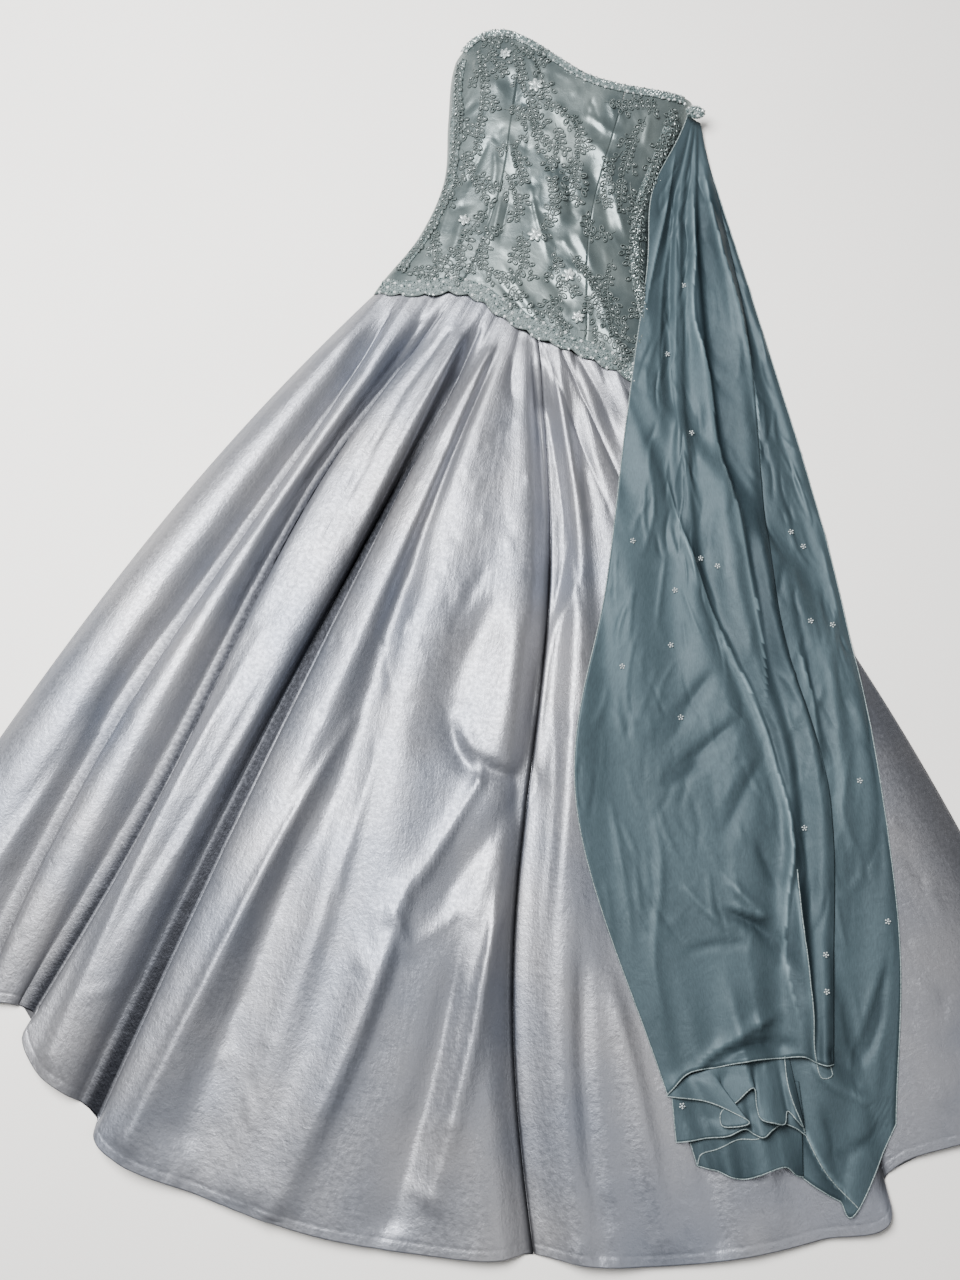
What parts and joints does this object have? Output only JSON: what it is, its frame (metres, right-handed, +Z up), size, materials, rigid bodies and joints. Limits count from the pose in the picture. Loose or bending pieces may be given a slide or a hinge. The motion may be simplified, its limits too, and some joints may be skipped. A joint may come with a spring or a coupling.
{
  "type": "party dress",
  "caption": "Strapless floor-length ball gown with a beaded, corded bodice, a full satin skirt and an organza shoulder sash, laid flat on its back.",
  "frame": {"origin": "centre of the laid-out gown on the surface that it lies on", "axes": "+Y runs from the hem to the neckline, +X to the right as seen from above, +Z up out of the surface, from the back of the gown to its front"},
  "size_m": [1.4382, 1.5751, 0.0539],
  "materials": {
    "satin_grey": "crisp satin with a metallic sheen",
    "bodice_teal": "sheer organza over satin",
    "sash_teal": "soft sheer organza",
    "bead_silver": "faceted beads",
    "cord_teal": "twisted cord, couched down"
  },
  "bodies": {
    "root": {"bodice_center_front": "bodice_teal", "bodice_side_left": "bodice_teal", "bodice_side_right": "bodice_teal", "bodice_back_left": "bodice_teal", "bodice_back_right": "bodice_teal", "back_zip": "cord_teal", "skirt_front_left": "satin_grey", "skirt_front_right": "satin_grey", "skirt_back_left": "satin_grey", "skirt_back_right": "satin_grey", "sash_upper": "sash_teal", "sash_lower": "sash_teal", "sash_tail_upper": "sash_teal", "sash_tail_middle": "sash_teal", "sash_tail_lower": "sash_teal", "sash_knot": "bead_silver", "neck_trim": "bead_silver", "basque_trim": "bead_silver", "side_trim_left": "bead_silver", "side_trim_right": "bead_silver", "spray_bust_left": "cord_teal", "spray_bust_center": "cord_teal", "spray_bust_right": "cord_teal", "spray_side_right": "cord_teal", "spray_waist_left": "cord_teal", "spray_waist_center": "cord_teal", "spray_waist_right": "cord_teal", "spray_hip_left": "cord_teal", "spray_hip_right": "cord_teal", "flower_bust_left": "bead_silver", "flower_bust_center": "bead_silver", "flower_waist_center": "bead_silver", "flower_hip_left": "bead_silver", "flower_hip_center": "bead_silver", "flower_hip_right": "bead_silver"}
  },
  "joints": []
}
